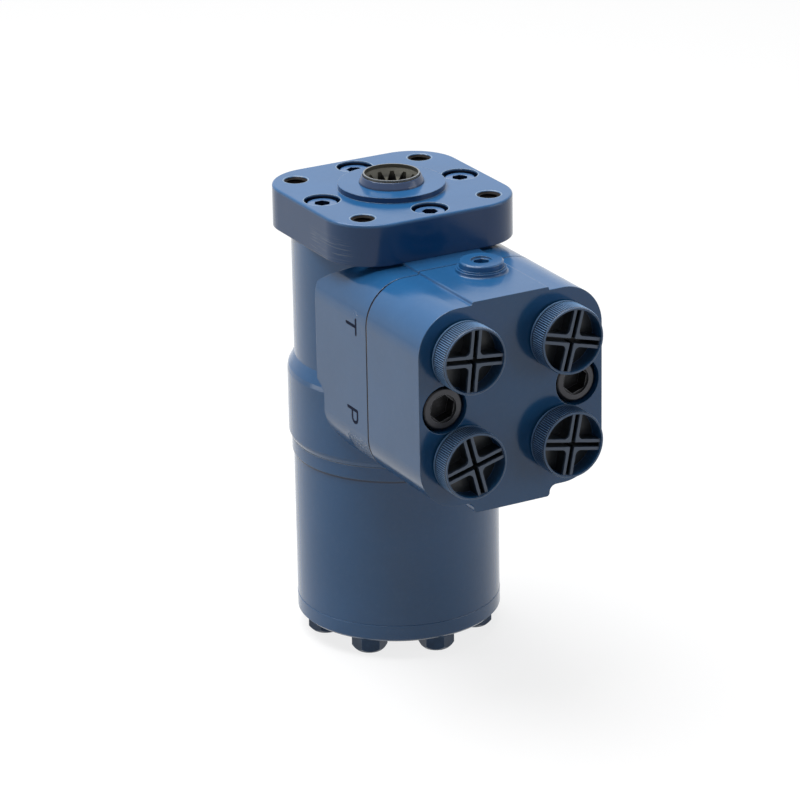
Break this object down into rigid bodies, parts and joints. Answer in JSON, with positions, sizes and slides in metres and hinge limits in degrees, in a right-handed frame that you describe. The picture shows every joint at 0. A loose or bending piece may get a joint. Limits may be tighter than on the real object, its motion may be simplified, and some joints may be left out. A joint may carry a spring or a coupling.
{
  "type": "hydraulic steering unit",
  "caption": "Orbital hydraulic steering unit: a rotary spool valve and orbiting gear set in a flanged cylinder, with a bolted port block and screwed-in port caps.",
  "frame": {"origin": "centre of the flange's mounting face, on the shaft axis", "axes": "+Z along the shaft towards the steering column; the port face looks towards -Y; the tank and pressure ports are on the -X side"},
  "size_m": [0.0896, 0.1522, 0.1997],
  "materials": {
    "blue_enamel": "glossy slate-blue enamel over cast iron, sprayed after assembly",
    "black_screw_steel": "black oxide, slightly oily",
    "painted_bolt_steel": "dark blue-black overspray on steel",
    "seal_rubber": "matte black nitrile",
    "cap_plastic": "matte black moulded plastic with light overspray",
    "bearing_steel": "bright hardened steel, oiled",
    "shaft_steel": "ground grey steel with dark grease in the spline",
    "washer_copper": "dull copper"
  },
  "bodies": {
    "unit": {"mounting_flange": "blue_enamel", "flange_screws": "black_screw_steel", "dust_seal": "seal_rubber", "shaft_seal": "seal_rubber", "bearing_race_upper": "bearing_steel", "housing": "blue_enamel", "flange_seal": "seal_rubber", "plate_seal_upper": "seal_rubber", "plate_seal_lower": "seal_rubber", "cover_seal": "seal_rubber", "distributor_plate": "blue_enamel", "gear_ring": "blue_enamel", "end_cover": "blue_enamel", "cover_bolts": "painted_bolt_steel", "cover_washers": "painted_bolt_steel", "valve_block": "blue_enamel", "block_screws": "black_screw_steel", "block_seals": "seal_rubber", "relief_plug": "black_screw_steel", "relief_washer": "washer_copper", "relief_seat": "bearing_steel", "relief_spring": "bearing_steel", "check_seat": "bearing_steel"},
    "sleeve": {"valve_sleeve": "shaft_steel", "cross_pin": "bearing_steel", "bearing_race_lower": "bearing_steel", "centering_springs": "bearing_steel"},
    "spool": {"valve_spool": "shaft_steel"},
    "bearing": {"bearing_cage": "bearing_steel", "bearing_needles": "bearing_steel"},
    "carrier": {"drive_spacer": "shaft_steel"},
    "rotor": {"gear_rotor": "shaft_steel"},
    "drive": {"drive_shaft": "shaft_steel"},
    "relief": {"relief_poppet": "bearing_steel"},
    "check": {"check_ball": "bearing_steel"},
    "tank_seal": {"seal_tank": "seal_rubber"},
    "tank_cap": {"cap_tank": "cap_plastic"},
    "right_seal": {"seal_right": "seal_rubber"},
    "right_cap": {"cap_right": "cap_plastic"},
    "pressure_seal": {"seal_pressure": "seal_rubber"},
    "pressure_cap": {"cap_pressure": "cap_plastic"},
    "left_seal": {"seal_left": "seal_rubber"},
    "left_cap": {"cap_left": "cap_plastic"}
  },
  "joints": [
    {"name": "steering_turn", "type": "hinge", "parent": "unit", "child": "sleeve", "pos_m": [0, 0, -0.06], "axis": [0, 0, 1], "continuous": true},
    {"name": "bearing_roll", "type": "hinge", "parent": "unit", "child": "bearing", "pos_m": [0, 0, -0.0134], "axis": [0, 0, 1], "continuous": true},
    {"name": "spool_turn", "type": "hinge", "parent": "sleeve", "child": "spool", "pos_m": [0, 0, -0.05], "axis": [0, 0, 1], "range_deg": [-8, 8], "stiffness_Nm_per_rad": 8, "deforming": ["centering_springs"]},
    {"name": "rotor_orbit", "type": "hinge", "parent": "unit", "child": "carrier", "pos_m": [0, 0, -0.175], "axis": [0, 0, 1], "continuous": true},
    {"name": "rotor_turn", "type": "hinge", "parent": "carrier", "child": "rotor", "pos_m": [0, -0.00365, -0.1455], "axis": [0, 0, 1], "continuous": true},
    {"name": "drive_turn", "type": "hinge", "parent": "carrier", "child": "drive", "pos_m": [0, 0, -0.052], "axis": [0, 0.0372, 0.9993], "continuous": true},
    {"name": "relief_lift", "type": "slide", "parent": "unit", "child": "relief", "axis": [0, 0, 1], "range_m": [0, 0.0015], "stiffness_N_per_m": 3000, "springref_m": -0.002, "deforming": ["relief_spring"]},
    {"name": "check_open", "type": "slide", "parent": "unit", "child": "check", "axis": [0, 1, 0], "range_m": [0, 0.0015]},
    {"name": "tank_cap_travel", "type": "slide", "parent": "unit", "child": "tank_seal", "axis": [0, -1, 0], "range_m": [0, 0.00907]},
    {"name": "tank_cap_unscrew", "type": "hinge", "parent": "tank_seal", "child": "tank_cap", "pos_m": [-0.02225, -0.0968, -0.038], "axis": [0, -1, 0], "range_deg": [0, 1800]},
    {"name": "right_cap_travel", "type": "slide", "parent": "unit", "child": "right_seal", "axis": [0, -1, 0], "range_m": [0, 0.00907]},
    {"name": "right_cap_unscrew", "type": "hinge", "parent": "right_seal", "child": "right_cap", "pos_m": [0.02225, -0.0968, -0.038], "axis": [0, -1, 0], "range_deg": [0, 1800]},
    {"name": "pressure_cap_travel", "type": "slide", "parent": "unit", "child": "pressure_seal", "axis": [0, -1, 0], "range_m": [0, 0.00907]},
    {"name": "pressure_cap_unscrew", "type": "hinge", "parent": "pressure_seal", "child": "pressure_cap", "pos_m": [-0.02225, -0.0968, -0.0821], "axis": [0, -1, 0], "range_deg": [0, 1800]},
    {"name": "left_cap_travel", "type": "slide", "parent": "unit", "child": "left_seal", "axis": [0, -1, 0], "range_m": [0, 0.00907]},
    {"name": "left_cap_unscrew", "type": "hinge", "parent": "left_seal", "child": "left_cap", "pos_m": [0.02225, -0.0968, -0.0821], "axis": [0, -1, 0], "range_deg": [0, 1800]}
  ],
  "couplings": [
    {"joint": "bearing_roll", "follows": "steering_turn", "ratio": 0.5},
    {"joint": "rotor_orbit", "follows": "steering_turn", "ratio": -6},
    {"joint": "rotor_turn", "follows": "steering_turn", "ratio": 7},
    {"joint": "drive_turn", "follows": "steering_turn", "ratio": 7},
    {"joint": "tank_cap_unscrew", "follows": "tank_cap_travel", "rad_per_m": 3463.7},
    {"joint": "right_cap_unscrew", "follows": "right_cap_travel", "rad_per_m": 3463.7},
    {"joint": "pressure_cap_unscrew", "follows": "pressure_cap_travel", "rad_per_m": 3463.7},
    {"joint": "left_cap_unscrew", "follows": "left_cap_travel", "rad_per_m": 3463.7}
  ]
}
